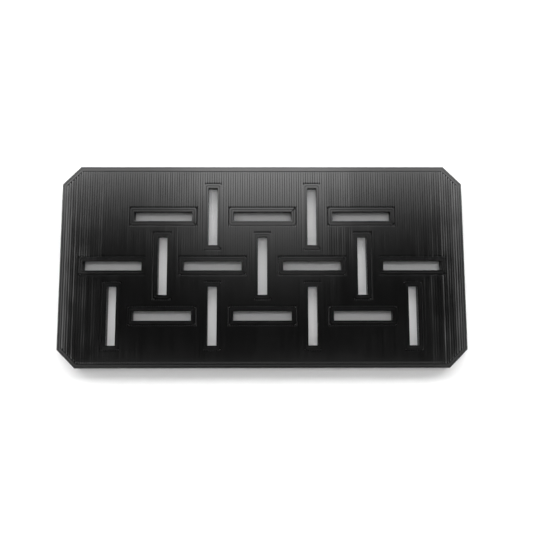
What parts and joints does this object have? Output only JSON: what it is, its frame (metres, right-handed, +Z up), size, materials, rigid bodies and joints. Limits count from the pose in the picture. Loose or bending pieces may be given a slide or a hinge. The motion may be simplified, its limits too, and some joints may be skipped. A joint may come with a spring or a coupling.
{
  "type": "slotted plate",
  "caption": "Thin rigid black printed plate with cut corners and narrow slots that run in turn lengthwise and crosswise, in a basket-weave layout.",
  "frame": {"origin": "middle of the plate on its underside, which is the face that it rests on", "axes": "+X along the long side, to the right with the short slot row at the back; +Y along the short side, towards the short slot row; +Z up, out of the top face"},
  "size_m": [0.0762, 0.0382, 0.0014],
  "materials": {
    "black_pla": "satin, as printed, with fine parallel lines"
  },
  "bodies": {
    "root": {"bottom_skin": "black_pla", "core": "black_pla", "outer_wall": "black_pla", "slot_wall_back_2": "black_pla", "slot_wall_back_3": "black_pla", "slot_wall_back_4": "black_pla", "slot_wall_back_5": "black_pla", "slot_wall_back_6": "black_pla", "slot_wall_front_1": "black_pla", "slot_wall_front_2": "black_pla", "slot_wall_front_3": "black_pla", "slot_wall_front_4": "black_pla", "slot_wall_front_5": "black_pla", "slot_wall_front_6": "black_pla", "slot_wall_front_7": "black_pla", "slot_wall_middle_1": "black_pla", "slot_wall_middle_2": "black_pla", "slot_wall_middle_3": "black_pla", "slot_wall_middle_4": "black_pla", "slot_wall_middle_5": "black_pla", "slot_wall_middle_6": "black_pla", "slot_wall_middle_7": "black_pla", "top_skin": "black_pla"}
  },
  "joints": []
}
